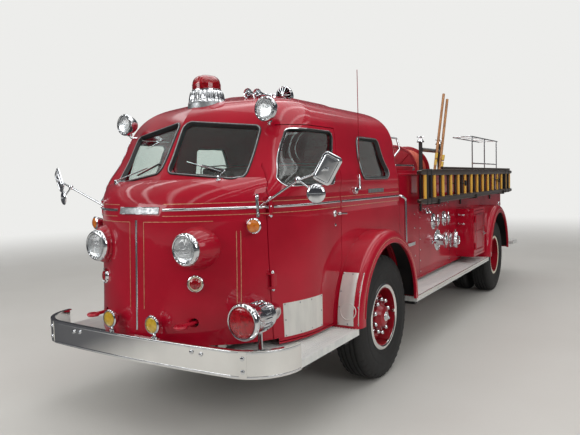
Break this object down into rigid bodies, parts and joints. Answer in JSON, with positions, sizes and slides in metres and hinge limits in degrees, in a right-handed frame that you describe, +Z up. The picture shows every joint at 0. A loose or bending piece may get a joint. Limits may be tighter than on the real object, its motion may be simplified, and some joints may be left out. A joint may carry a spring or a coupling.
{
  "type": "fire engine",
  "caption": "Mid-century fire engine with a rounded closed cab, split windscreen, pump panels, side ladders, hose reel and open hose bed.",
  "frame": {"origin": "on the ground, halfway along the vehicle and on its middle plane", "axes": "front faces -Y, +X is the vehicle's left, +Z up"},
  "size_m": [2.7674, 7.9, 2.8671],
  "materials": {
    "body_red": "gloss",
    "wheel_red": "gloss",
    "chassis_black": "satin",
    "bright_steel": "polished",
    "chrome_plate": "polished",
    "tread_aluminium": "ribbed, satin",
    "roller_steel": "satin",
    "glass": "clear",
    "tyre_rubber": "matte",
    "hose_rubber": "matte",
    "seat_leather": "satin",
    "ladder_wood": "varnished",
    "pole_wood": "varnished"
  },
  "bodies": {
    "chassis": {"frame_rails": "chassis_black", "engine_block": "chassis_black", "front_axle": "chassis_black", "rear_axle": "chassis_black", "cab_shell": "body_red", "cab_windows": "glass", "cab_interior": "body_red", "cab_seat": "seat_leather", "front_bumper": "bright_steel", "fenders": "body_red", "running_boards": "tread_aluminium", "tailboard": "tread_aluminium", "rear_body": "body_red", "side_boxes": "body_red", "pump_fittings": "chrome_plate", "ladders": "ladder_wood", "suction_hoses": "hose_rubber", "rack_brackets": "chassis_black", "front_lamps": "chrome_plate", "siren_lamp": "chrome_plate", "roof_signals": "chrome_plate", "spotlights": "chrome_plate", "mirrors": "chrome_plate", "grab_rails": "chrome_plate", "reel_stand": "body_red", "pike_poles": "pole_wood", "tail_lamps": "chrome_plate", "aerial": "chrome_plate"},
    "hose_reel_body": {"hose_reel": "body_red", "wound_hose": "hose_rubber"},
    "door_left_body": {"door_left": "body_red", "door_glass_left": "glass"},
    "knuckle_left_body": {"knuckle_left": "chassis_black"},
    "front_wheel_left_body": {"front_tyre_left": "tyre_rubber", "front_wheel_left": "wheel_red"},
    "rear_wheels_left_body": {"rear_tyres_left": "tyre_rubber", "rear_wheels_left": "wheel_red"},
    "box_door_left_body": {"box_door_left": "body_red"},
    "side_roller_left_body": {"side_roller_left": "roller_steel"},
    "door_right_body": {"door_right": "body_red", "door_glass_right": "glass"},
    "knuckle_right_body": {"knuckle_right": "chassis_black"},
    "front_wheel_right_body": {"front_tyre_right": "tyre_rubber", "front_wheel_right": "wheel_red"},
    "rear_wheels_right_body": {"rear_tyres_right": "tyre_rubber", "rear_wheels_right": "wheel_red"},
    "box_door_right_body": {"box_door_right": "body_red"},
    "side_roller_right_body": {"side_roller_right": "roller_steel"}
  },
  "joints": [
    {"name": "door_left_hinge", "type": "hinge", "parent": "chassis", "child": "door_left_body", "pos_m": [0.826, -3.432, 1.2], "axis": [0, 0, -1], "range_deg": [0, 65]},
    {"name": "steering_left", "type": "hinge", "parent": "chassis", "child": "knuckle_left_body", "pos_m": [0.77, -2.08, 0.527], "axis": [0, 0, 1], "range_deg": [-30, 30]},
    {"name": "front_wheel_left_spin", "type": "hinge", "parent": "knuckle_left_body", "child": "front_wheel_left_body", "pos_m": [0.935, -2.08, 0.527], "axis": [1, 0, 0], "continuous": true},
    {"name": "rear_wheels_left_spin", "type": "hinge", "parent": "chassis", "child": "rear_wheels_left_body", "pos_m": [0.935, 2.138, 0.527], "axis": [1, 0, 0], "continuous": true},
    {"name": "box_door_left_hinge", "type": "hinge", "parent": "chassis", "child": "box_door_left_body", "pos_m": [1.095, 0.846, 0.975], "axis": [0, 0, -1], "range_deg": [0, 110]},
    {"name": "side_roller_left_spin", "type": "hinge", "parent": "chassis", "child": "side_roller_left_body", "pos_m": [0.45, 1.051, 2.07], "axis": [0, 1, 0], "continuous": true},
    {"name": "door_right_hinge", "type": "hinge", "parent": "chassis", "child": "door_right_body", "pos_m": [-0.826, -3.432, 1.2], "axis": [0, 0, 1], "range_deg": [0, 65]},
    {"name": "steering_right", "type": "hinge", "parent": "chassis", "child": "knuckle_right_body", "pos_m": [-0.77, -2.08, 0.527], "axis": [0, 0, 1], "range_deg": [-30, 30]},
    {"name": "front_wheel_right_spin", "type": "hinge", "parent": "knuckle_right_body", "child": "front_wheel_right_body", "pos_m": [-0.935, -2.08, 0.527], "axis": [1, 0, 0], "continuous": true},
    {"name": "rear_wheels_right_spin", "type": "hinge", "parent": "chassis", "child": "rear_wheels_right_body", "pos_m": [-0.935, 2.138, 0.527], "axis": [1, 0, 0], "continuous": true},
    {"name": "box_door_right_hinge", "type": "hinge", "parent": "chassis", "child": "box_door_right_body", "pos_m": [-1.095, 0.846, 0.975], "axis": [0, 0, 1], "range_deg": [0, 110]},
    {"name": "side_roller_right_spin", "type": "hinge", "parent": "chassis", "child": "side_roller_right_body", "pos_m": [-0.45, 1.051, 2.07], "axis": [0, 1, 0], "continuous": true},
    {"name": "hose_reel_spin", "type": "hinge", "parent": "chassis", "child": "hose_reel_body", "pos_m": [0, 1.05, 1.8], "axis": [0, 1, 0], "continuous": true}
  ],
  "couplings": [
    {"joint": "steering_right", "follows": "steering_left", "ratio": 1}
  ]
}
